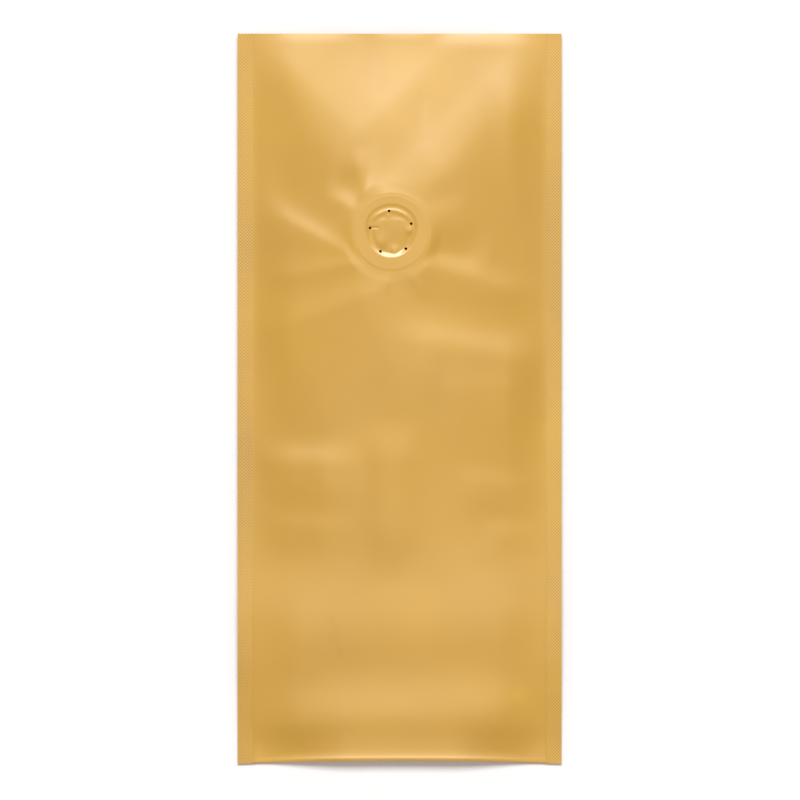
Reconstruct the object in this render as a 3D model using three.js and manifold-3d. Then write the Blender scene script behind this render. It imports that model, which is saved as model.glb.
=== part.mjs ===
// A flat, unfilled coffee bag of matt gold barrier film, lying on its back with its degassing valve up.
//
// Two side gussets lie folded between the front and back panels. Each gusset is heat sealed to both
// panels, so a pair of narrow fins, one above the other, runs along each side. The film turns under in
// a soft fold at the foot of the bag (-Y). The mouth (+Y) is unsealed and pressed nearly shut. The
// back lies flat along the middle and turns up to the fins, which float a little over the table. What
// can't be seen into is solid: only the slits between the fins and at the mouth are open.
//
// Frame: millimetres, +X across the bag, +Y towards the mouth, +Z up. The origin is the middle of the
// footprint, on the surface that the bag lies on.

import * as THREE from 'three';
import { mergeVertices } from 'three/addons/utils/BufferGeometryUtils.js';
import Module from 'manifold-3d';

// Driving dimensions of the bag
const BAG_WIDTH = 102;
const BAG_LENGTH = 230;
const SEAL_WIDTH = 5.8; // the knurled heat seal along each side
const FIN_THICKNESS = 0.3; // panel film and gusset film, fused
const FIN_GAP = 0.3; // between the front fin and the back fin
const FIN_SLIT_DEPTH = 5.2; // how far the gap between the fins runs in
const FIN_FLOAT = 1.3; // height of the fins over the table, away from the foot
const LOFT = 1.4; // rise of the front panel over the fins, from the springy gussets inside
const SHOULDER = 30; // distance from the seal over which the panel rises to its loft
const FOOT_FOLD_HEIGHT = 3.6; // thickness of the soft fold at the foot, at the middle
const FOOT_FOLD_REACH = 0.3; // how far the fold bulges out beyond the line where it begins
const FOOT_ARCH = 0.9; // how far the middle of the foot draws back from the corners
const MOUTH_SLIT_DEPTH = 6;

// Driving dimensions of the valve, a welded disc with a sunk cup and five pinholes
const VALVE_X = -2.6;
const VALVE_Y = 52.3;
const VALVE_RADIUS = 11.6;
const VALVE_THICKNESS = 2.4;
const VALVE_PROUD = 0.1; // its flange stands this far above the film round it
const CUP_RADIUS = 7.95;
const CUP_DEPTH = 0.55;
const PINHOLE_COUNT = 5;
const PINHOLE_CIRCLE = 6.85; // radius of the circle that the pinholes lie on
const PINHOLE_RADIUS = 0.44;
const PINHOLE_DEPTH = 0.9;
const PINHOLE_FIRST_ANGLE = THREE.MathUtils.degToRad(24);
const SEAT_HEIGHT = 7.6; // the film at the valve's edge, above the table
const SEAT_MARGIN = 0.8; // the film stays level this far past the valve
const CLEARANCE = 0.3; // between the valve and its pocket in the pouch

// Worked out from the driving dimensions
const HALF_WIDTH = BAG_WIDTH / 2;
const HALF_LENGTH = BAG_LENGTH / 2;
const PANEL_EDGE_X = HALF_WIDTH - SEAL_WIDTH;
const EDGE_HEIGHT = 2 * FIN_THICKNESS + FIN_GAP;
const SEAT_RADIUS = VALVE_RADIUS + SEAT_MARGIN;

// Folds of the front film. Each has its crest between two points and falls away with about the given
// tilt. Its widths are the runs of that fall towards the mouth and towards the foot, at its start and
// at its end. A tilt below 0 makes a valley.
const FOLDS = [
  // The film strained round the valve gathers into creases and valleys that run out from it.
  { from: [-11, 42.6], to: [-49, 62.2], tilt: 0.086, near: [2.2, 6], far: [5.4, 30] },
  { from: [-17, 54], to: [-47, 71], tilt: -0.03, near: [9, 6], far: [13, 9] },
  { from: [-8, 43.4], to: [-44, 36.4], tilt: 0.09, near: [2.2, 12], far: [5.6, 30] },
  { from: [-4, 35], to: [-50, 16], tilt: 0.08, near: [5, 18], far: [9, 50] },
  { from: [1, 43.6], to: [46, 30.6], tilt: 0.086, near: [2.2, 7], far: [5.6, 8] },
  { from: [9, 47.4], to: [27, 45.4], tilt: -0.04, near: [6, 3], far: [8, 4] },
  { from: [-10.4, 61], to: [-13.2, 78], tilt: 0.056, near: [4, 3], far: [4, 3] },
  { from: [-11, 66], to: [-22, 69], tilt: -0.06, near: [6, 5], far: [6, 5] },
  { from: [-8, 78], to: [-44, 114], tilt: 0.019, near: [30, 10], far: [30, 10] },
  { from: [6, 66], to: [46, 106], tilt: 0.012, near: [30, 18], far: [30, 18] },
  { from: [32, 86], to: [60, 89], tilt: 0.036, near: [10, 24], far: [10, 24] },
  // Furrows over the gussets' folds, near the mouth.
  { from: [-7.8, 76], to: [-7.8, 122], tilt: -0.04, near: [2.2, 2.2], far: [2.2, 2.2] },
  { from: [8, 90], to: [8, 122], tilt: -0.04, near: [2, 2], far: [2, 2] },
  // Dents in the slack body.
  { from: [0, 15.6], to: [56, 4.2], tilt: 0.1, near: [10, 60], far: [11, 60] },
  { from: [14, 2], to: [42, 3], tilt: 0.03, near: [6, 24], far: [6, 24] },
  { from: [-3.5, -12], to: [-3.5, -54], tilt: 0.05, near: [9, 8], far: [9, 8] },
  { from: [-46, -22.6], to: [-14, -22.8], tilt: 0.1, near: [7, 14], far: [7, 14] },
  { from: [-48, -39.8], to: [-16, -42], tilt: 0.06, near: [4.8, 8], far: [4.8, 8] },
  { from: [19, -27], to: [51, -30.4], tilt: 0.042, near: [4.6, 8], far: [4.6, 8] },
  { from: [28, -42.4], to: [49, -43.4], tilt: 0.04, near: [3.6, 6], far: [3.6, 6] },
];

// Shallow waves that cross the whole body near the foot.
const WAVES = [
  { from: [-70, -76], to: [70, -70], tilt: 0.052, near: [15, 20], far: [15, 20] },
  { from: [-70, -103.4], to: [70, -99.4], tilt: 0.104, near: [11, 22], far: [11, 22] },
];

// Lips, where the mouth's edge curls down to the back panel.
const LIPS = [
  { middle: -27, halfWidth: 14, length: 3.4, drop: 0.13 },
  { middle: 1, halfWidth: 9, length: 2, drop: 0.08 },
  { middle: 28, halfWidth: 14, length: 4, drop: 0.17 },
];

const { clamp, lerp, smoothstep } = THREE.MathUtils;

// 1 at a crest, dying away over the width before it where off is over 0, and after it elsewhere.
function hump(off, before, after) {
  return Math.exp(-((off / (off > 0 ? before : after)) ** 2));
}

// The valve holds the film up like a tent pole: 1 on the valve's seat, 0 along the bag's outline. The
// film falls to the sides and to the ends, and both falls meet in ridges, sharp towards the mouth and
// rounded towards the foot.
function tent(x, y) {
  const FOOT_SIDE = { steepness: 1.25, crispness: 2 };
  const MOUTH_SIDE = { steepness: 1.18, crispness: 7 };
  const BLEND = 12; // distance each way from the valve's middle over which one passes to the other
  const dx = x - VALVE_X;
  const dy = y - VALVE_Y;
  const distance = Math.hypot(dx, dy);

  // Share of the height lost on the way to an edge that lies span off, for a run towards it.
  const fall = (span, run) => {
    const reach = (distance * span) / Math.max(Math.abs(run), 1e-6);
    return clamp((distance - SEAT_RADIUS) / Math.max(reach - SEAT_RADIUS, 1e-6), 0, 1);
  };
  const towardsMouth = smoothstep(dy, -BLEND, BLEND);
  const steepness = lerp(FOOT_SIDE.steepness, MOUTH_SIDE.steepness, towardsMouth);
  const crispness = lerp(FOOT_SIDE.crispness, MOUTH_SIDE.crispness, towardsMouth);
  const side = fall(PANEL_EDGE_X - Math.sign(dx) * VALVE_X, dx);
  const end = 1 - (1 - fall(HALF_LENGTH - Math.sign(dy) * VALVE_Y, dy)) ** steepness;
  return 1 - (1 - (1 - side ** crispness) * (1 - end ** crispness)) ** (1 / crispness);
}

function foldHeight({ from, to, tilt, near, far }, x, y) {
  const RISE_PER_TILT = 1.17; // makes the steepest part of a hump's side as steep as its tilt
  const FADE_IN = [-0.15, 0.2]; // shares of the run over which a fold rises, and sinks away again
  const FADE_OUT = [0.65, 1.15];
  const runX = to[0] - from[0];
  const runY = to[1] - from[1];
  const run = Math.hypot(runX, runY);
  const along = ((x - from[0]) * runX + (y - from[1]) * runY) / run ** 2;
  const off = ((y - from[1]) * runX - (x - from[0]) * runY) / (runX < 0 ? -run : run);
  const share = clamp(along, 0, 1);
  const mouthSide = lerp(near[0], far[0], share);
  const footSide = lerp(near[1], far[1], share);
  const fade = smoothstep(along, ...FADE_IN) * (1 - smoothstep(along, ...FADE_OUT));
  return RISE_PER_TILT * tilt * mouthSide * fade * hump(off, mouthSide, footSide);
}

function sumOfFolds(folds, x, y) {
  return folds.reduce((sum, fold) => sum + foldHeight(fold, x, y), 0);
}

// Height of the fins' undersides. They come down to the table at the foot, and a little at the mouth on
// the right.
function finFloat(x, y) {
  const FOOT_RUN = 34;
  const SWELL = { y: -70, rise: 0.5, mouthSide: 14, footSide: 18 }; // where a wave crosses the bag
  const MOUTH_DROP = 0.6;
  const MOUTH_RUN = 32;
  const DROP_SIDES = [-20, 40]; // from none of the drop on the left to all of it on the right
  const level = FIN_FLOAT * smoothstep(y, -HALF_LENGTH, FOOT_RUN - HALF_LENGTH);
  const swell = SWELL.rise * hump(y - SWELL.y, SWELL.mouthSide, SWELL.footSide);
  const drop = MOUTH_DROP * smoothstep(y, HALF_LENGTH - MOUTH_RUN, HALF_LENGTH);
  return level + swell - drop * smoothstep(x, ...DROP_SIDES);
}

// Height of the back panel's underside.
function backHeight(x, y) {
  const TURN_UP = 26; // distance from the seal over which the back leaves the table
  return finFloat(x, y) * (1 - smoothstep(PANEL_EDGE_X - Math.abs(x), 0, TURN_UP));
}

// Height of the front panel's outer face.
function frontHeight(x, y) {
  const fromSeal = PANEL_EDGE_X - Math.abs(x);
  const fromValve = Math.hypot(x - VALVE_X, y - VALVE_Y);

  const FLOAT_REACH = 40; // how far in from the seal the fins' float lifts the film
  const MOUTH_THINNING = 0.1; // share of the loft lost at the mouth
  const THINNING_RUN = 30;
  const edge = EDGE_HEIGHT + finFloat(x, y) * (1 - smoothstep(fromSeal, 0, FLOAT_REACH));
  const thinning = 1 - MOUTH_THINNING * smoothstep(y, HALF_LENGTH - THINNING_RUN, HALF_LENGTH);
  let slack = LOFT * smoothstep(fromSeal, 0, SHOULDER) * thinning;
  for (const { middle, halfWidth, length, drop } of LIPS) {
    const curl = clamp((y - HALF_LENGTH + length) / length, 0, 1) ** 2;
    slack -= drop * curl * Math.exp(-(((x - middle) / halfWidth) ** 4));
  }

  // The welded seat and the seals are stiff, so folds rise over a little distance beside them.
  const BESIDE_SEAT = [SEAT_RADIUS - 0.4, SEAT_RADIUS + 3.6];
  const BESIDE_SEAL = [-2, 12];
  const WAVES_BESIDE_SEAL = [-4, 15];
  const folds = sumOfFolds(FOLDS, x, y) * smoothstep(fromValve, ...BESIDE_SEAT) * smoothstep(fromSeal, ...BESIDE_SEAL);
  const waves = sumOfFolds(WAVES, x, y) * smoothstep(fromSeal, ...WAVES_BESIDE_SEAL);

  // The panel runs out into the fold at the foot, which is thinner at the seals.
  const FOLD_LINE = 1 - HALF_LENGTH;
  const FOLD_RUN = 12;
  const height = lerp(edge + slack, SEAT_HEIGHT, tent(x, y)) + folds + waves;
  const footFold = lerp(EDGE_HEIGHT, FOOT_FOLD_HEIGHT, smoothstep(fromSeal, 0, SHOULDER));
  return lerp(footFold, height, smoothstep(y, FOLD_LINE, FOLD_LINE + FOLD_RUN));
}

// The pouch is a block whose sides are split into fins and a slit, bent to the bag's form.
function pouchGeometry() {
  const ACROSS = 42;
  const ALONG = 86;
  const LAYERS = 5; // back fin, underside of the slit, its end wall, top of the slit, front fin
  const block = new THREE.BoxGeometry(1, 1, 1, ACROSS, ALONG, LAYERS);
  const position = block.getAttribute('position');
  const panelHalf = 0.5 - 1 / ACROSS; // the outermost column on each side is the seal

  for (let i = 0; i < position.count; i++) {
    const u = position.getX(i);
    const v = position.getY(i);
    const layer = Math.round((position.getZ(i) + 0.5) * LAYERS);
    const side = Math.abs(u) === 0.5 ? Math.sign(u) : 0;
    const atFoot = v === -0.5;

    let x = side ? side * HALF_WIDTH : (u / panelHalf) * PANEL_EDGE_X;
    const inSlit = (layer === 2 || layer === 3) && !atFoot;
    const foldY = FOOT_ARCH * (1 - (x / HALF_WIDTH) ** 2) + FOOT_FOLD_REACH - HALF_LENGTH;
    let y = lerp(foldY, inSlit ? HALF_LENGTH - MOUTH_SLIT_DEPTH : HALF_LENGTH, v + 0.5);
    if (inSlit) x -= side * FIN_SLIT_DEPTH;

    const front = side ? finFloat(x, y) + EDGE_HEIGHT : frontHeight(x, y);
    const back = side ? finFloat(x, y) : backHeight(x, y);
    const frontInside = front - FIN_THICKNESS;
    const backInside = back + FIN_THICKNESS;
    let z = [back, backInside, backInside, frontInside, frontInside, front][layer];
    if (atFoot) {
      const turn = (Math.PI * layer) / LAYERS;
      const outermost = Math.sin((Math.PI * 2) / LAYERS);
      z = lerp(back, front, (1 - Math.cos(turn)) / 2);
      y -= (FOOT_FOLD_REACH * Math.sin(turn)) / outermost;
    }
    position.setXYZ(i, x, y, z);
  }
  return block;
}

const wasm = await Module();
wasm.setup();
const FINEST_DETAIL = 0.02; // slivers thinner than this are merged away

// A three.js geometry as a solid for cutting, and a cut solid as a geometry again.
function toSolid(geometry) {
  geometry.deleteAttribute('normal');
  geometry.deleteAttribute('uv');
  const merged = mergeVertices(geometry);
  return new wasm.Manifold(new wasm.Mesh({
    numProp: 3,
    vertProperties: new Float32Array(merged.getAttribute('position').array),
    triVerts: new Uint32Array(merged.index.array),
  }));
}

function toGeometry(solid) {
  const mesh = solid.simplify(FINEST_DETAIL).getMesh();
  const geometry = new THREE.BufferGeometry();
  geometry.setAttribute('position', new THREE.BufferAttribute(mesh.vertProperties, 3));
  geometry.setIndex(new THREE.BufferAttribute(mesh.triVerts, 1));
  geometry.computeVertexNormals();
  return geometry;
}

// An upright cylinder with its foot at the given height.
function uprightCylinder(radius, height, footZ, sides) {
  return new THREE.CylinderGeometry(radius, radius, height, sides)
    .rotateX(Math.PI / 2)
    .translate(0, 0, footZ + height / 2);
}

const VALVE_SIDES = 48;
const PINHOLE_SIDES = 10;
const valveTop = SEAT_HEIGHT + VALVE_PROUD;
const valveFoot = valveTop - VALVE_THICKNESS;

// The pouch with the round pocket that the valve is welded into.
function makePouch(material) {
  const ABOVE = 3;
  const pocketFloor = valveFoot - CLEARANCE;
  const pocket = uprightCylinder(VALVE_RADIUS + CLEARANCE, SEAT_HEIGHT + ABOVE - pocketFloor, pocketFloor, VALVE_SIDES)
    .translate(VALVE_X, VALVE_Y, 0);
  const cut = toSolid(pouchGeometry()).subtract(toSolid(pocket));
  const pouch = new THREE.Mesh(toGeometry(cut), material);
  pouch.name = 'pouch';
  return pouch;
}

// The valve is turned: a level flange, and a cup whose floor domes up inside the ring of pinholes. Radii
// and heights run from the middle of its foot round to the middle of its top.
function makeValve(material) {
  const EDGE_ROUND = 0.3;
  const CUP_WALL = 0.6; // how far the cup's wall leans in
  const DOME_RADIUS = 5;
  const DOME_DEPTH = 0.4; // of the domed floor's shoulder below the flange
  const CROWN_DEPTH = 0.35; // of its middle below the flange
  const profile = [
    [0, valveFoot],
    [VALVE_RADIUS, valveFoot],
    [VALVE_RADIUS, valveTop - EDGE_ROUND],
    [VALVE_RADIUS - EDGE_ROUND * 0.3, valveTop - EDGE_ROUND * 0.3],
    [VALVE_RADIUS - EDGE_ROUND, valveTop],
    [CUP_RADIUS, valveTop],
    [CUP_RADIUS - CUP_WALL, valveTop - CUP_DEPTH],
    [PINHOLE_CIRCLE - 2 * PINHOLE_RADIUS, valveTop - CUP_DEPTH],
    [DOME_RADIUS, valveTop - DOME_DEPTH],
    [0, valveTop - CROWN_DEPTH],
  ].map(([radius, height]) => new THREE.Vector2(radius, height));
  const turned = new THREE.LatheGeometry(profile, VALVE_SIDES).rotateX(Math.PI / 2);

  let body = toSolid(turned);
  const pinholeFoot = valveTop - CUP_DEPTH - PINHOLE_DEPTH;
  for (let n = 0; n < PINHOLE_COUNT; n++) {
    const angle = PINHOLE_FIRST_ANGLE + (2 * Math.PI * n) / PINHOLE_COUNT;
    const pinhole = uprightCylinder(PINHOLE_RADIUS, CUP_DEPTH + PINHOLE_DEPTH, pinholeFoot, PINHOLE_SIDES)
      .translate(PINHOLE_CIRCLE * Math.cos(angle), PINHOLE_CIRCLE * Math.sin(angle), 0);
    body = body.subtract(toSolid(pinhole));
  }
  const valve = new THREE.Mesh(toGeometry(body), material);
  valve.name = 'valve';
  valve.position.set(VALVE_X, VALVE_Y, 0);
  return valve;
}

const goldFilm = new THREE.MeshStandardMaterial({ color: 0xd7a95a, roughness: 0.42, metalness: 0.75 });
const goldOverValve = new THREE.MeshStandardMaterial({ color: 0xdbaf60, roughness: 0.38, metalness: 0.75 });

const coffeeBag = new THREE.Group();
coffeeBag.add(makePouch(goldFilm), makeValve(goldOverValve));

export default coffeeBag;
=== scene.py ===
import math

import bmesh
import bpy
import numpy as np
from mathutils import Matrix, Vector


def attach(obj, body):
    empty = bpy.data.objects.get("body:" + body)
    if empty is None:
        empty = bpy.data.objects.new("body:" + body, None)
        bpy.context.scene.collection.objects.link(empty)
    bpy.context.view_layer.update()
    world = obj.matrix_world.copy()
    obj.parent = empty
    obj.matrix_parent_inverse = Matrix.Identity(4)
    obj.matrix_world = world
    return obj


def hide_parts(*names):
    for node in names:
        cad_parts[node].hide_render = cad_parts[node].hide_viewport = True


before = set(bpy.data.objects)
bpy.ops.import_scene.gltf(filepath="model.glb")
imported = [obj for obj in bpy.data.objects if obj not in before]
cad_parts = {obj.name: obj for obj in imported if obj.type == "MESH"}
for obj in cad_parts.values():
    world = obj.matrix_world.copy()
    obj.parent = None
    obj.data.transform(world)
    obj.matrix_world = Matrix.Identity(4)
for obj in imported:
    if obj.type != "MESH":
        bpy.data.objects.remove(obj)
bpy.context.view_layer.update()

# The camera looks straight down on the flat bag, mouth up, through a long lens, so the outline is true.
# A pixel covers its size at the true-scale height over the table. The lens and the sensor are in
# millimetres, as Blender takes them, and the rest is in metres.
PICTURE_PIXELS = 800
PIXEL_SIZE = 0.000315
BAG_CENTRE_PIXEL = (399.6, 398.8)
TRUE_SCALE_HEIGHT = 0.0009
SENSOR_WIDTH = 36
LENS_LENGTH = 600

camera = bpy.data.objects.new("camera", bpy.data.cameras.new("camera"))
bpy.context.scene.collection.objects.link(camera)
camera.data.sensor_width = SENSOR_WIDTH
camera.data.lens = LENS_LENGTH
camera.data.clip_start = 0.1
camera.location = (
    (PICTURE_PIXELS / 2 - BAG_CENTRE_PIXEL[0]) * PIXEL_SIZE,
    (BAG_CENTRE_PIXEL[1] - PICTURE_PIXELS / 2) * PIXEL_SIZE,
    TRUE_SCALE_HEIGHT + PICTURE_PIXELS * PIXEL_SIZE * LENS_LENGTH / SENSOR_WIDTH,
)
bpy.context.scene.camera = camera
bpy.context.scene.view_settings.view_transform = "Standard"


# The barrier film: metallised polyester laminated to polyethylene, lacquered a warm gold and finished
# matt, so that it glows softly where it tips towards the light and never mirrors anything.
class Field:
    """A shader value. Operators on it add Math nodes."""

    def __init__(self, maker, socket):
        self.maker = maker
        self.socket = socket

    def _math(self, operation, *values):
        return self.maker.node("ShaderNodeMath", {"operation": operation}, *values)

    def __add__(self, other):
        return self._math("ADD", self, other)

    def __mul__(self, other):
        return self._math("MULTIPLY", self, other)

    def cosine(self):
        return self._math("COSINE", self)

    __radd__ = __add__
    __rmul__ = __mul__


class Finish:
    """A material on one Principled shader, with a method that adds any other node."""

    def __init__(self, name, **settings):
        self.material = bpy.data.materials.new(name)
        self.material.use_nodes = True
        self.tree = self.material.node_tree
        self.shader = self.tree.nodes["Principled BSDF"]
        for socket, value in settings.items():
            self.shader.inputs[socket.replace("_", " ")].default_value = value

    def node(self, kind, settings=None, *values, output=0, **named):
        """A node with its settings made first, then its sockets by place or by name."""
        made = self.tree.nodes.new(kind)
        for key, value in (settings or {}).items():
            if key == "stops":
                self._set_stops(made.color_ramp, value)
            else:
                setattr(made, key, value)
        for socket, value in zip(made.inputs, values):
            self._feed(socket, value)
        for key, value in named.items():
            self._feed(made.inputs[key.replace("_", " ")], value)
        return Field(self, made.outputs[output])

    def _set_stops(self, ramp, stops):
        while len(ramp.elements) < len(stops):
            ramp.elements.new(0.5)
        for element, (place, colour) in zip(ramp.elements, stops):
            element.position = place
            element.color = colour

    def _feed(self, socket, value):
        if isinstance(value, Field):
            self.tree.links.new(value.socket, socket)
        else:
            socket.default_value = value

    def set(self, **fields):
        for name, field in fields.items():
            self._feed(self.shader.inputs[name.replace("_", " ")], field)

    def place(self):
        return self.node("ShaderNodeTexCoord", output="Object")

    def noise(self, scale, detail):
        return self.node("ShaderNodeTexNoise", None, Vector=self.place(), Scale=scale, Detail=detail)

    def bump(self, height, distance):
        return self.node("ShaderNodeBump", None, Distance=distance, Height=height)


# The ramp's middle stops give the film's random tone. Its two ends are reached mostly on the knurl: the
# dark end is painted shade in the diamonds' valleys, and the bright end is a painted highlight on their
# crests.
GOLD_PAINTED_VALLEY_SHADE = (0.120, 0.045, 0.001, 1)
GOLD_DEEP = (0.654, 0.322, 0.002, 1)
GOLD = (0.682, 0.340, 0.003, 1)
GOLD_PALE = (0.706, 0.358, 0.004, 1)
GOLD_PAINTED_CREST_HIGHLIGHT = (1.000, 0.570, 0.004, 1)
GOLD_STOPS = [(0.0, GOLD_PAINTED_VALLEY_SHADE), (0.32, GOLD_DEEP), (0.5, GOLD), (0.68, GOLD_PALE), (1.0, GOLD_PAINTED_CREST_HIGHLIGHT)]
GOLD_SHEEN = {
    "Metallic": 0.18,
    "IOR": 1.65,
    "Coat_Weight": 1.0,
    "Coat_Roughness": 0.28,
    "Coat_IOR": 1.85,
}
ROUGHNESS = 0.50
TOOTH_ROUGHNESS = 0.08
TOOTH_SHARE = 0.15
CRINKLE_HEIGHT = 0.00004


def gild(finish, shade):
    """Lacquers a finish gold, deeper where shade is under a half, with the film's fine tooth. Shade is
    the film's random tone, and on the knurl it also holds painted shade in the valleys and a painted
    highlight on the crests.
    """
    tooth = finish.noise(scale=2400, detail=1.0)
    crinkle = finish.noise(scale=150, detail=4.0)
    finish.set(
        Base_Color=finish.node("ShaderNodeValToRGB", {"stops": GOLD_STOPS}, shade),
        Roughness=ROUGHNESS + TOOTH_ROUGHNESS * tooth,
        Normal=finish.bump(tooth * TOOTH_SHARE + crinkle, distance=CRINKLE_HEIGHT),
    )
    return finish.material


def clouds(finish):
    """The faint unevenness of the film's colour."""
    return finish.noise(scale=28, detail=3.0)


def gold_film():
    finish = Finish("gold film", **GOLD_SHEEN)
    return gild(finish, clouds(finish))


GOLD_FILM = gold_film()

# The bag's wrap: one web of film that runs from the mouth down the front, turns under in a soft fold
# at the foot and comes back up behind. The valve is welded to its inner face, and the film over it
# stays drum tight and is pricked with pinholes. Everything round the valve is strained towards it.
MM = 0.001
BAG_WIDTH = 102
BAG_LENGTH = 230
SEAL_WIDTH = 5.8
FILM_THICKNESS = 0.14
SEAL_THICKNESS = 0.3
SEAL_GAP = 0.3
PANEL_EDGE_X = BAG_WIDTH / 2 - SEAL_WIDTH
WRAP_LAP = 1.6
WRAP_EDGE_X = PANEL_EDGE_X + WRAP_LAP
EDGE_HEIGHT = 2 * SEAL_THICKNESS + SEAL_GAP
MOUTH_Y = BAG_LENGTH / 2
FOOT_Y = -BAG_LENGTH / 2
FOOT_ARCH = 0.9
FOOT_FOLD_HEIGHT = 3.6
FOOT_FOLD_REACH = 0.3
LOFT = 1.4
SHOULDER = 30
GUSSET_FOLD_X = 9

VALVE_X = -2.6
VALVE_Y = 52.3
VALVE_RADIUS = 11.6
SEAT_HEIGHT = 7.6
SEAT_MARGIN = 0.8
SEAT_RADIUS = VALVE_RADIUS + SEAT_MARGIN
VALVE_PROUD = 0.03
CUP_RADIUS = 7.95
CUP_DEPTH = 0.55
PINHOLE_CIRCLE = 6.85
PINHOLE_RADIUS = 0.44
PINHOLE_FIRST_ANGLE = math.radians(24)
PINHOLE_COUNT = 5


def step(value, low, high):
    """0 below low, 1 above high, and smooth between."""
    t = np.clip((value - low) / (high - low), 0, 1)
    return t * t * (3 - 2 * t)


def mix(a, b, share):
    return a + (b - a) * share


def hump(off, before, after, sharpness=2.0):
    """1 at the crest, dying away over the width before where off is over 0, and over after elsewhere."""
    return np.exp(-((abs(off) / np.where(off > 0, before, after)) ** sharpness))


# The tent's falls to the sides and to the ends meet in ridges. Each pair is for the foot's side of the
# valve and the mouth's, and the blend is how far from the valve one passes to the other.
END_STEEPNESS = (1.25, 1.18)
RIDGE_CRISPNESS = (2.0, 7.0)
TENT_BLEND = 12


def tent(x, y):
    """The valve holds the film up as a tent pole does: 1 on its seat, 0 along the bag's outline."""
    dx, dy = x - VALVE_X, y - VALVE_Y
    distance = np.hypot(dx, dy)

    def fall(span, run):
        """Share of the height lost on the way to an edge that lies span off, for a run towards it."""
        reach = distance * span / np.maximum(abs(run), 1e-6)
        return np.clip((distance - SEAT_RADIUS) / np.maximum(reach - SEAT_RADIUS, 1e-6), 0, 1)

    side = fall(np.where(dx > 0, PANEL_EDGE_X - VALVE_X, PANEL_EDGE_X + VALVE_X), dx)
    end = fall(np.where(dy > 0, MOUTH_Y - VALVE_Y, VALVE_Y - FOOT_Y), dy)
    towards_mouth = step(dy, -TENT_BLEND, TENT_BLEND)
    end = 1 - (1 - end) ** mix(*END_STEEPNESS, towards_mouth)
    crispness = mix(*RIDGE_CRISPNESS, towards_mouth)
    return 1 - (1 - (1 - side**crispness) * (1 - end**crispness)) ** (1 / crispness)


# A fold rises and sinks away over these shares of its run. The rise makes the steepest part of its
# side about as steep as its tilt.
FADE_IN = (-0.15, 0.2)
FADE_OUT = (0.65, 1.15)
RISE_PER_TILT = 1.17


def fold(x, y, start, end, tilt, widths, far_widths=None, sharpness=2.0):
    """A crease's height. Its crest runs from start to end. It falls away with about the given tilt over
    widths[0] on the side nearer the mouth, and over widths[1] on the side nearer the foot, which become
    far_widths at its end."""
    far_widths = far_widths or widths
    run_x, run_y = end[0] - start[0], end[1] - start[1]
    run = math.hypot(run_x, run_y)
    along = ((x - start[0]) * run_x + (y - start[1]) * run_y) / run**2
    off = ((y - start[1]) * run_x - (x - start[0]) * run_y) / math.copysign(run, run_x)
    share = np.clip(along, 0, 1)
    mouth_side = mix(widths[0], far_widths[0], share)
    foot_side = mix(widths[1], far_widths[1], share)
    fade = step(along, *FADE_IN) * (1 - step(along, *FADE_OUT))
    return RISE_PER_TILT * tilt * mouth_side * fade * hump(off, mouth_side, foot_side, sharpness)


# Creases that the strain gathers round the valve: start, end, tilt, and the widths of their falls at
# the start and at the end, towards the mouth and towards the foot, and the sharpness. A tilt below 0
# makes a valley.
VALVE_CREASES = [
    ((-11.0, 42.6), (-49.0, 62.2), 0.086, (2.2, 6.0), (5.4, 30.0), 1.8),
    ((-17.0, 54.0), (-47.0, 71.0), -0.030, (9.0, 6.0), (13.0, 9.0), 2.0),
    ((-8.0, 43.4), (-44.0, 36.4), 0.090, (2.2, 12.0), (5.6, 30.0), 1.7),
    ((-4.0, 35.0), (-50.0, 16.0), 0.090, (5.0, 18.0), (9.0, 50.0), 1.7),
    ((1.0, 43.6), (46.0, 30.6), 0.086, (2.2, 7.0), (5.6, 8.0), 1.8),
    ((9.0, 47.4), (27.0, 45.4), -0.040, (6.0, 3.0), (8.0, 4.0), 2.0),
    ((4.0, 60.0), (20.0, 66.0), -0.030, (5.0, 4.0), None, 2.0),
    ((-8.0, 55.6), (-23.0, 64.4), 0.035, (1.4, 2.4), (3.4, 3.4), 1.7),
    ((-3.4, 42.0), (-4.6, 33.0), 0.060, (1.2, 1.2), None, 2.0),
    ((1.6, 42.0), (8.4, 32.0), 0.040, (1.6, 1.6), None, 2.0),
    ((-10.4, 61.0), (-13.2, 78.0), 0.066, (4.0, 3.0), None, 2.0),
    ((-11.0, 66.0), (-22.0, 69.0), -0.060, (6.0, 5.0), None, 2.0),
    ((-6.0, 78.0), (-42.0, 114.0), 0.012, (50.0, 11.0), None, 2.0),
    ((6.0, 66.0), (46.0, 106.0), 0.012, (30.0, 18.0), None, 2.0),
    ((32.0, 86.0), (60.0, 89.0), 0.036, (10.0, 24.0), None, 2.0),
]
# Folds of the slack film: two furrows over the gussets' folds, then soft humps.
BODY_FOLDS = [
    ((-7.8, 76.0), (-7.8, 122.0), -0.052, (2.4, 2.4), None, 2.0),
    ((8.0, 88.0), (8.0, 122.0), -0.050, (2.2, 2.2), None, 2.0),
    ((-3.5, -12.0), (-3.5, -54.0), 0.050, (9.0, 8.0), None, 2.0),
    ((-46.0, -22.6), (-14.0, -22.8), 0.100, (7.0, 14.0), None, 2.6),
    ((-48.0, -39.8), (-16.0, -42.0), 0.060, (4.8, 8.0), None, 2.0),
    ((19.0, -27.0), (51.0, -30.4), 0.042, (4.6, 8.0), None, 2.4),
    ((28.0, -42.4), (49.0, -43.4), 0.040, (3.6, 6.0), None, 2.2),
    ((0.0, 16.6), (60.0, 4.6), 0.104, (8.0, 30.0), (10.0, 30.0), 2.4),
    ((14.0, 2.0), (42.0, 3.0), 0.030, (6.0, 24.0), None, 2.0),
]
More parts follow.
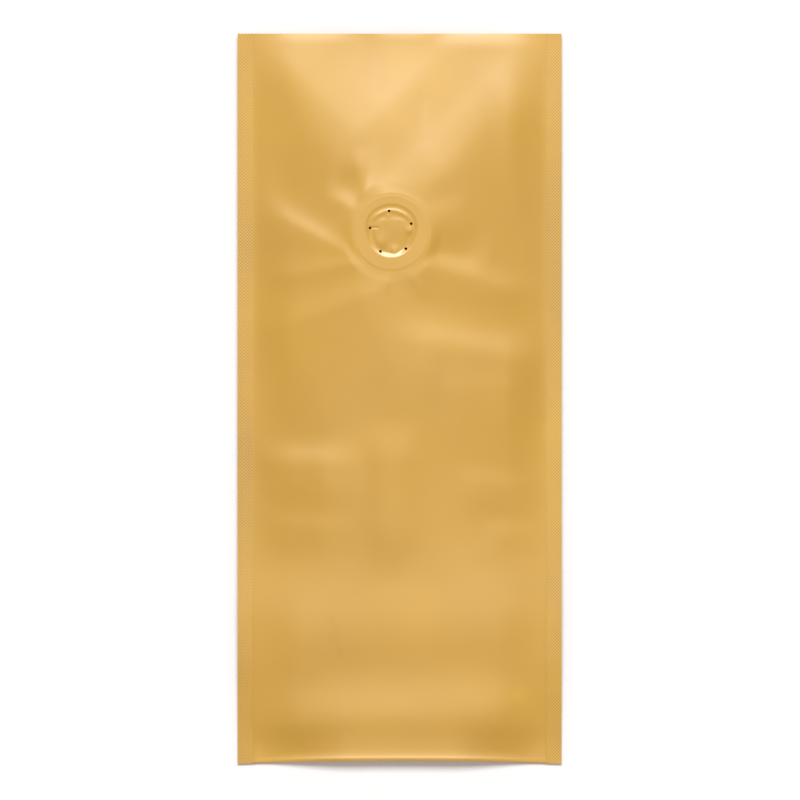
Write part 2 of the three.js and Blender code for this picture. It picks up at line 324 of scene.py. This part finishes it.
# Shallow waves that cross the whole body near the foot.
WAVES = [
    ((-70.0, -76.0), (70.0, -70.0), 0.052, (15.0, 17.0), None, 2.0),
    ((-70.0, -103.4), (70.0, -99.4), 0.104, (11.0, 22.0), None, 2.0),
]
# Where the mouth's edge curls down to the back panel: middle and half width of each lip, how far in it
# starts, and its drop.
LIPS = [(-27.0, 14.0, 3.4, 0.13), (1.0, 9.0, 2.0, 0.08), (27.0, 15.0, 5.0, 0.26)]
LIP_SHARPNESS = 4.0

# How the fins float over the table: level, lifted where a wave crosses the bag, down at the foot, and
# a little lower at the mouth on the right. The back panel turns up to them at its sides.
FIN_FLOAT = 1.3
FIN_FOOT_RUN = 34
SWELL_Y = -70
SWELL_RISE = 0.5
SWELL_WIDTHS = (14, 18)
MOUTH_DROP = 0.6
MOUTH_DROP_RUN = 32
MOUTH_DROP_SIDES = (-20, 40)
BACK_TURN_UP = 26


def fin_float(x, y):
    """Height of the fins' undersides over the table."""
    level = FIN_FLOAT * step(y, FOOT_Y, FOOT_Y + FIN_FOOT_RUN)
    swell = SWELL_RISE * hump(y - SWELL_Y, *SWELL_WIDTHS)
    drop = MOUTH_DROP * step(y, MOUTH_Y - MOUTH_DROP_RUN, MOUTH_Y) * step(x, *MOUTH_DROP_SIDES)
    return level + swell - drop


def back_height(x, y):
    """Height of the back panel's underside: flat on the table, turned up to the fins at the sides."""
    return fin_float(x, y) * (1 - step(PANEL_EDGE_X - abs(x), 0, BACK_TURN_UP))


def foot_line(x):
    """Where the foot's edge lies: its middle draws back a little from the corners."""
    return FOOT_Y + FOOT_ARCH * (1 - (2 * x / BAG_WIDTH) ** 2)


# Width of the rim along the foot at the seals and in the middle, and how far in it grows to that.
FOOT_RIM_WIDTHS = (0.8, 3.2)
FOOT_RIM_RUN = 16
FOOT_RIM_STEEPNESS = 0.12


def foot_rim(x, y):
    """A low rim along the foot, where the film rises a little into its fold."""
    width = mix(*FOOT_RIM_WIDTHS, step(PANEL_EDGE_X - abs(x), 0, FOOT_RIM_RUN))
    share = np.clip(1 - (y - foot_line(x) - FOOT_FOLD_REACH) / width, 0, 1)
    return FOOT_RIM_STEEPNESS * width * share**2


# How the front film leaves its stiff borders. The folds rise over a little distance beside the valve's
# seat and the seals, and the waves beside the seals.
WRAP_TUCK = 0.12
FLOAT_REACH = 40
MOUTH_THINNING = 0.1
MOUTH_THINNING_RUN = 30
BESIDE_SEAT = (SEAT_RADIUS - 0.4, SEAT_RADIUS + 3.6)
BESIDE_SEAL = (-2, 12)
WAVES_BESIDE_SEAL = (-4, 15)
FOOT_FOLD_RUN = (FOOT_Y + 1, FOOT_Y + 13)


def panel_height(x, y):
    """Height in millimetres of the front panel's outer face, away from the valve."""
    from_seal = PANEL_EDGE_X - abs(x)
    from_valve = np.hypot(x - VALVE_X, y - VALVE_Y)
    tuck = WRAP_TUCK * step(-from_seal, 0, WRAP_LAP)
    edge = EDGE_HEIGHT + fin_float(x, y) * (1 - step(from_seal, 0, FLOAT_REACH))
    thinning = 1 - MOUTH_THINNING * step(y, MOUTH_Y - MOUTH_THINNING_RUN, MOUTH_Y)
    slack = LOFT * step(from_seal, 0, SHOULDER) * thinning
    for middle, half_width, length, drop in LIPS:
        curl = np.clip((y - MOUTH_Y + length) / length, 0, 1) ** 2
        slack = slack - drop * curl * hump(x - middle, half_width, half_width, LIP_SHARPNESS)
    height = mix(edge + slack, SEAT_HEIGHT, tent(x, y))

    creases = sum(fold(x, y, *shape) for shape in VALVE_CREASES + BODY_FOLDS)
    waves = sum(fold(x, y, *shape) for shape in WAVES)
    height += creases * step(from_valve, *BESIDE_SEAT) * step(from_seal, *BESIDE_SEAL)
    height += waves * step(from_seal, *WAVES_BESIDE_SEAL)

    fold_height = mix(EDGE_HEIGHT, FOOT_FOLD_HEIGHT, step(from_seal, 0, SHOULDER))
    return mix(fold_height, height, step(y, *FOOT_FOLD_RUN)) + foot_rim(x, y) - tuck


# What the film does over the valve, in radii and distances from its middle. The weld is a low ring and
# the groove round it, each with its radius, rise and width.
FLANGE_EDGE = (VALVE_RADIUS - 0.2, VALVE_RADIUS + 0.9)
WELD_RINGS = [(VALVE_RADIUS - 0.1, 0.014, 0.4), (12.1, -0.020, 0.6)]
# The cup's wall leads from its inner to its outer radius. Towards the mouth the wall lies further out
# and the floor is shallower, by this share of the depth.
CUP_WALL_FOOT = (6.2, CUP_RADIUS)
CUP_WALL_MOUTH = (8.1, 9.3)
CUP_WALL_BLEND = (-3, 6)
SHALLOW_SHARE = 0.2
SHALLOW_BLEND = (-8, 6)
# In the cup: a bead along its mouth side, a raised plateau in the middle, a pinch at its left, and
# bumps with their place, rise and radius.
BEAD_RISE = 0.13
BEAD_RADIUS = 7.0
BEAD_WIDTHS = (0.5, 0.8)
BEAD_START = (3, 6)
PLATEAU_RISE = 0.12
PLATEAU_EDGE = (4.6, 6.2)
PLATEAU_FOOT_END = (-6, 2)
PLATEAU_MOUTH_END = (3.6, 5.2)
PINCH_DEPTH = 0.08
PINCH_Y = 1.5
PINCH_WIDTH = 0.35
PINCH_LEFT_END = (-7.2, -6.4)
PINCH_RIGHT_END = (-4.4, -3.4)
BUMPS_EDGE = (6.4, 7.6)
CUP_BUMPS = [
    ((-3.6, -3.2), 0.26, 2.6),
    ((1.0, -5.7), 0.26, 1.5),
    ((5.9, 0.7), 0.16, 1.1),
    ((-1.0, 5.2), 0.10, 0.8),
]


def valve_height(x, y):
    """What the welded valve adds to the panel's height."""
    dx, dy = x - VALVE_X, y - VALVE_Y
    radius = np.hypot(dx, dy)
    flange = VALVE_PROUD * (1 - step(radius, *FLANGE_EDGE))
    weld = sum(rise * hump(radius - ring, width, width) for ring, rise, width in WELD_RINGS)
    towards_mouth = step(dy, *CUP_WALL_BLEND)
    wall_inner, wall_outer = (mix(*pair, towards_mouth) for pair in zip(CUP_WALL_FOOT, CUP_WALL_MOUTH))
    floor_depth = CUP_DEPTH * mix(1.0, SHALLOW_SHARE, step(dy, *SHALLOW_BLEND))
    cup = -floor_depth * (1 - step(radius, wall_inner, wall_outer))
    bead = BEAD_RISE * step(dy, *BEAD_START) * hump(radius - BEAD_RADIUS, *BEAD_WIDTHS)
    plateau = PLATEAU_RISE * (1 - step(dy, *PLATEAU_MOUTH_END)) * (1 - step(radius, *PLATEAU_EDGE))
    plateau = plateau * step(dy, *PLATEAU_FOOT_END)
    bumps = sum(
        rise * np.exp(-(((dx - place[0]) ** 2 + (dy - place[1]) ** 2) / size**2))
        for place, rise, size in CUP_BUMPS
    )
    inside = 1 - step(radius, *BUMPS_EDGE)
    pinch = -PINCH_DEPTH * hump(dy - PINCH_Y, PINCH_WIDTH, PINCH_WIDTH)
    pinch = pinch * step(dx, *PINCH_LEFT_END) * (1 - step(dx, *PINCH_RIGHT_END))
    return flange + weld + cup + bead + plateau + inside * bumps + pinch


def pinhole_centres():
    for n in range(PINHOLE_COUNT):
        angle = PINHOLE_FIRST_ANGLE + 2 * math.pi * n / PINHOLE_COUNT
        yield VALVE_X + PINHOLE_CIRCLE * math.cos(angle), VALVE_Y + PINHOLE_CIRCLE * math.sin(angle)


def edge_distance(edge, centre):
    return max(math.dist(v.co.xy, centre) for v in edge.verts)


def face_distance(face, centre):
    return min(math.dist(v.co.xy, centre) for v in face.verts)


def turn_profile(bm, points, centre, steps):
    """Joins points into a line and turns it all the way round the upright axis through centre."""
    verts = [bm.verts.new(point) for point in points]
    edges = [bm.edges.new(pair) for pair in zip(verts, verts[1:])]
    bmesh.ops.spin(
        bm,
        geom=verts + edges,
        cent=(*centre, 0),
        axis=(0, 0, 1),
        angle=math.tau,
        steps=steps,
        use_merge=True,
    )


def inlay_rings(bm, centre, radii, sides, closed):
    """Cuts a round patch out of a flat sheet and sews in rings, closed or open in the middle."""
    reach = radii[-1]
    touching = 0.001
    near_faces = [f for f in bm.faces if face_distance(f, centre) < reach]
    cell = max(e.calc_length() for f in near_faces for e in f.edges)
    doomed = [f for f in bm.faces if face_distance(f, centre) < reach + 0.4 * cell]
    bmesh.ops.delete(bm, geom=doomed, context="FACES")
    rim = [e for e in bm.edges if e.is_boundary and edge_distance(e, centre) < reach + 3 * cell]
    turned = ([0] if closed else []) + radii
    turn_profile(bm, [(centre[0] + r, centre[1], 0) for r in turned], centre, sides)
    middle = [v for v in bm.verts if math.dist(v.co.xy, centre) < 10 * touching]
    bmesh.ops.remove_doubles(bm, verts=middle, dist=touching)
    open_edges = [e for e in bm.edges if e.is_boundary]
    outer = [e for e in open_edges if abs(edge_distance(e, centre) - reach) < touching]
    bmesh.ops.triangle_fill(bm, use_beauty=True, edges=rim + outer, normal=(0, 0, 1))


def put_verts(verts, x, y, z):
    for vert, place in zip(verts, np.stack([x, y, z], axis=1).tolist()):
        vert.co = place


def link_piece(name, bm, material, smooth=True):
    """A bmesh in millimetres becomes a piece in metres, at the origin. Its cut edges stay crisp."""
    mesh = bpy.data.meshes.new(name)
    bmesh.ops.scale(bm, vec=(MM, MM, MM), verts=bm.verts)
    for face in bm.faces:
        face.smooth = smooth
    for edge in bm.edges:
        edge.smooth = not edge.is_boundary
    bm.to_mesh(mesh)
    bm.free()
    mesh.materials.append(material)
    piece = bpy.data.objects.new(name, mesh)
    bpy.context.scene.collection.objects.link(piece)
    return piece


def add_thickness(piece, thickness):
    solidify = piece.modifiers.new("thickness", "SOLIDIFY")
    solidify.thickness = thickness * MM
    solidify.offset = -1


def make_wrap():
    columns = 94
    front_rows, fold_rows, back_rows = 232, 14, 46
    rows = front_rows + fold_rows + back_rows
    fold_run = 4
    foot_shift_run = 20

    # The web laid out flat: rows from the mouth down the front, round the fold and up the back.
    bm = bmesh.new()
    bmesh.ops.create_grid(bm, x_segments=columns, y_segments=rows, size=1)
    breaks = [0, front_rows, front_rows + fold_rows, rows]
    stations = [MOUTH_Y, FOOT_Y, FOOT_Y - fold_run, FOOT_Y - fold_run - BAG_LENGTH]
    for vert in bm.verts:
        row = round((1 - vert.co.y) / 2 * rows)
        vert.co = (vert.co.x * WRAP_EDGE_X, np.interp(row, breaks, stations), 0)

    # Fine rings over the valve, and coarser ones where the film is strained towards it.
    fine_rings = [0.25 * n for n in range(1, 57)]
    coarse_rings = [fine_rings[-1] + 0.5 * n for n in range(1, 41)]
    inlay_rings(bm, (VALVE_X, VALVE_Y), fine_rings + coarse_rings, sides=176, closed=True)
    pinhole_rings = [PINHOLE_RADIUS, PINHOLE_RADIUS + 0.12, PINHOLE_RADIUS + 0.3]
    for centre in pinhole_centres():
        inlay_rings(bm, centre, pinhole_rings, sides=20, closed=False)
    bmesh.ops.recalc_face_normals(bm, faces=bm.faces)

    # Raised, folded and turned under.
    verts = list(bm.verts)
    x, s = np.array([v.co.xy for v in verts]).T
    turn_y = foot_line(x) + FOOT_FOLD_REACH
    turn_height = panel_height(x, turn_y)
    turn = np.clip((FOOT_Y - s) / fold_run, 0, 1) * math.pi
    behind = np.clip(FOOT_Y - fold_run - s, 0, None)
    front_y = s + (turn_y - FOOT_Y) * (1 - step(s, FOOT_Y, FOOT_Y + foot_shift_run))
    fold_y = turn_y - FOOT_FOLD_REACH * np.sin(turn)
    back_y = mix(turn_y, MOUTH_Y, behind / BAG_LENGTH)
    front_z = panel_height(x, front_y) + valve_height(x, front_y)
    back_z = back_height(x, back_y)
    fold_z = mix(back_height(x, turn_y), turn_height, (1 + np.cos(turn)) / 2)
    is_front, is_back = s >= FOOT_Y, behind > 0
    y = np.where(is_front, front_y, np.where(is_back, back_y, fold_y))
    z = np.where(is_front, front_z, np.where(is_back, back_z, fold_z))
    put_verts(verts, x, y, z)
    bmesh.ops.recalc_face_normals(bm, faces=bm.faces)

    wrap = link_piece("film_wrap", bm, GOLD_FILM)
    add_thickness(wrap, FILM_THICKNESS)
    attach(wrap, "root")
    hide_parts("pouch")


make_wrap()

# The valve: a turned disc of plastic welded by its flange to the inside of the front panel. Only its
# well shows, behind the pinholes. It is coloured near-black, partly as a valve's dark rubber and partly
# as painted shade for the dark depth of the holes.
VALVE_THICKNESS = 2.4
FOOT_BEVEL = 0.3
TOP_BEVEL = 0.6
CUP_BEVEL = 0.2
WELD_THICKNESS = 0.03
CUP_FLOOR_GAP = 0.15
CUP_FLOOR_RADIUS = 4.2
WELL_DEPTH = 0.55
WELL_HALF_WIDTH = 0.7


def make_valve():
    # Near-black: partly the valve's own dark rubber, partly painted shade for the depth seen through the
    # pinholes.
    finish = Finish("valve plastic", Base_Color=(0.030, 0.010, 0.006, 1), Specular_IOR_Level=0.1)
    finish.set(Roughness=0.45 + 0.2 * finish.noise(scale=900, detail=2.0))
    top = SEAT_HEIGHT + VALVE_PROUD - FILM_THICKNESS - WELD_THICKNESS
    foot = SEAT_HEIGHT + VALVE_PROUD - VALVE_THICKNESS
    cup_floor = top - CUP_DEPTH - CUP_FLOOR_GAP
    well_floor = cup_floor - WELL_DEPTH
    profile = [
        (0, foot),
        (VALVE_RADIUS - FOOT_BEVEL, foot),
        (VALVE_RADIUS, foot + FOOT_BEVEL),
        (VALVE_RADIUS, top - TOP_BEVEL),
        (VALVE_RADIUS - TOP_BEVEL, top),
        (CUP_RADIUS + CUP_BEVEL, top),
        (CUP_RADIUS, top - CUP_BEVEL),
        (CUP_RADIUS, cup_floor),
        (PINHOLE_CIRCLE + WELL_HALF_WIDTH, well_floor),
        (PINHOLE_CIRCLE - WELL_HALF_WIDTH, well_floor),
        (CUP_FLOOR_RADIUS, cup_floor),
        (0, cup_floor),
    ]
    bm = bmesh.new()
    points = [(VALVE_X + radius, VALVE_Y, height) for radius, height in profile]
    turn_profile(bm, points, (VALVE_X, VALVE_Y), steps=72)
    bmesh.ops.remove_doubles(bm, verts=bm.verts, dist=0.0001)
    bmesh.ops.recalc_face_normals(bm, faces=bm.faces)
    valve = link_piece("valve_body", bm, finish.material, smooth=False)
    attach(valve, "root")
    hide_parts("valve")


make_valve()

# The gussets: a strip of the same film down each side, folded once inwards and laid between the
# panels. Its two edges are fused into the front and back seals, and its soft fold lies near the
# middle, where it shows through the front as a faint line.
GUSSET_CLEARANCE = 0.12
GUSSET_EASE = 0.25
GUSSET_LAP = 1.2
GUSSET_FOLD_SIZE = 1.0
GUSSET_FOOT_GAP = 2.2
GUSSET_MOUTH_GAP = 0.3
BESIDE_VALVE = (VALVE_RADIUS + 1, VALVE_RADIUS + 7)
SIDES = ((-1, "left"), (1, "right"))


def make_gusset(name, side):
    leaf_columns, fold_columns, rows = 30, 10, 115
    columns = 2 * leaf_columns + fold_columns
    bm = bmesh.new()
    bmesh.ops.create_grid(bm, x_segments=columns, y_segments=rows, size=1)
    verts = list(bm.verts)
    u, v = np.array([vert.co.xy for vert in verts]).T
    column = (u + 1) / 2 * columns
    outer, inner = PANEL_EDGE_X + GUSSET_LAP, GUSSET_FOLD_X
    y = mix(FOOT_Y + FOOT_ARCH + GUSSET_FOOT_GAP, MOUTH_Y - GUSSET_MOUTH_GAP, (v + 1) / 2)

    # Column by column: along the upper leaf, round the fold, and back along the lower leaf.
    leaf_share = np.minimum(column, columns - column) / leaf_columns
    turn = np.clip((column - leaf_columns) / fold_columns, 0, 1) * math.pi
    slack = GUSSET_CLEARANCE * step(leaf_share, 0, GUSSET_EASE)
    fold_x = inner + GUSSET_FOLD_SIZE
    leaf_x = mix(outer, fold_x, np.clip(leaf_share, 0, 1))
    bottom = back_height(side * leaf_x, y) + FILM_THICKNESS + slack
    near_valve = 1 - step(np.hypot(leaf_x * side - VALVE_X, y - VALVE_Y), *BESIDE_VALVE)
    top = panel_height(side * leaf_x, y) - FILM_THICKNESS - slack - VALVE_THICKNESS * near_valve
    radius = (top - bottom) / 2
    x = leaf_x - np.where(leaf_share >= 1, radius * np.sin(turn), 0)
    z = (top + bottom) / 2 + radius * np.cos(turn)
    put_verts(verts, side * x, y, z)
    bmesh.ops.recalc_face_normals(bm, faces=bm.faces)

    # The faces turned up belong on the upper leaf. Where they lie low, the sheet is inside out.
    low, past_fold = 1, inner + 3
    middles = [f.calc_center_median() for f in bm.faces if f.normal.z > 0]
    heights = [middle.z for middle in middles if abs(middle.x) > past_fold]
    if sum(heights) / max(len(heights), 1) < low:
        bmesh.ops.reverse_faces(bm, faces=bm.faces)
    gusset = link_piece(name, bm, GOLD_FILM)
    add_thickness(gusset, FILM_THICKNESS)
    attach(gusset, "root")
    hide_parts("pouch")


for side, side_name in SIDES:
    make_gusset(f"gusset_{side_name}", side)

# The seals: along each side a knurled jaw has fused a panel to its gusset, front and back, into two
# stiff fins that lie one over the other. The jaw's diamonds stand out on both faces of each fin.
KNURL_PITCH = BAG_WIDTH / 2 / 52
KNURLS_ACROSS = 6
KNURL_RELIEF = 0.08
# How strongly the knurl's painted shade and painted highlight show in the seals' colour.
KNURL_PAINTED_LIGHT = 0.36
CLOUD_TONE = 0.5
BASE_TONE = 0.22
TUCK_RUN = 1.5


def knurled_film():
    finish = Finish("knurled gold film", **GOLD_SHEEN)
    scale = math.tau / (KNURL_PITCH * MM)
    turns = finish.node("ShaderNodeVectorMath", {"operation": "SCALE"}, finish.place(), Scale=scale)
    x, y = (finish.node("ShaderNodeSeparateXYZ", None, turns, output=axis) for axis in (0, 1))
    # The diamonds are painted into the colour as well: painted shade in their valleys and a painted
    # highlight on their crests.
    diamonds = x.cosine() * y.cosine()
    return gild(finish, BASE_TONE + CLOUD_TONE * clouds(finish) + KNURL_PAINTED_LIGHT * diamonds)


KNURLED_FILM = knurled_film()


def make_seal(name, side, outer_height, tuck):
    """One fin. Its inner edge lies lower by the tuck, so that the wrap runs out over it."""
    cells_a_knurl = 4
    knurls_along = round(BAG_LENGTH / KNURL_PITCH)
    bm = bmesh.new()
    bmesh.ops.create_grid(
        bm, x_segments=cells_a_knurl * KNURLS_ACROSS, y_segments=cells_a_knurl * knurls_along, size=1
    )
    verts = list(bm.verts)
    u, v = np.array([vert.co.xy for vert in verts]).T
    outer = BAG_WIDTH / 2
    inner = outer - KNURLS_ACROSS * KNURL_PITCH
    x = mix(inner, outer, (u + 1) / 2)
    y = mix(foot_line(x), MOUTH_Y, (v + 1) / 2)
    diamonds = np.cos(math.tau * x / KNURL_PITCH) * np.cos(math.pi * v * knurls_along)
    z = outer_height + fin_float(side * x, y) + KNURL_RELIEF / 2 * (diamonds - 1)
    z -= tuck * (1 - step(x, inner, inner + TUCK_RUN))
    put_verts(verts, side * x, y, z)
    bmesh.ops.recalc_face_normals(bm, faces=bm.faces)
    if sum(f.normal.z for f in bm.faces) < 0:
        bmesh.ops.reverse_faces(bm, faces=bm.faces)
    seal = link_piece(name, bm, KNURLED_FILM)
    add_thickness(seal, SEAL_THICKNESS - KNURL_RELIEF)
    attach(seal, "root")
    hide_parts("pouch")


for side, side_name in SIDES:
    make_seal(f"seal_front_{side_name}", side, EDGE_HEIGHT, tuck=0.15)
    make_seal(f"seal_back_{side_name}", side, SEAL_THICKNESS, tuck=0)

# The table under the bag and the studio round it: a flat white table that glows a little itself, a
# broad soft light beyond the mouth, a weak warm one overhead and an even glow from all round.
FLOOR_SIZE = 3000
FLOOR_DROP = 0.02
FLOOR_COLOUR = (1.0, 0.965, 0.985, 1)
FLOOR_GLOW = 0.03
STUDIO_GLOW = 0.36


def make_floor():
    bm = bmesh.new()
    bmesh.ops.create_grid(bm, x_segments=1, y_segments=1, size=FLOOR_SIZE / 2)
    bmesh.ops.translate(bm, vec=(0, 0, -FLOOR_DROP), verts=bm.verts)
    finish = Finish(
        "floor",
        Base_Color=FLOOR_COLOUR,
        Emission_Color=FLOOR_COLOUR,
        Emission_Strength=FLOOR_GLOW,
    )
    floor = link_piece("floor", bm, finish.material)


def add_softbox(name, place, size, power, colour):
    lamp = bpy.data.objects.new(name, bpy.data.lights.new(name, "AREA"))
    lamp.data.shape = "RECTANGLE"
    lamp.data.size, lamp.data.size_y = size
    lamp.data.energy = power
    lamp.data.color = colour
    lamp.location = place
    lamp.rotation_euler = (-Vector(place)).to_track_quat("-Z", "Y").to_euler()
    bpy.context.scene.collection.objects.link(lamp)


make_floor()
add_softbox(
    "mouth_side_light", place=(0.0, 4.80, 7.20), size=(5.6, 3.8), power=630, colour=(0.95, 1, 0.98)
)
add_softbox("overhead_light", place=(0.2, 0.10, 8.40), size=(2.4, 2.4), power=19, colour=(1, 0.88, 0.62))

world = bpy.data.worlds.new("studio")
bpy.context.scene.world = world
world.use_nodes = True
background = world.node_tree.nodes["Background"]
background.inputs["Color"].default_value = (1, 1, 1, 1)
background.inputs["Strength"].default_value = STUDIO_GLOW
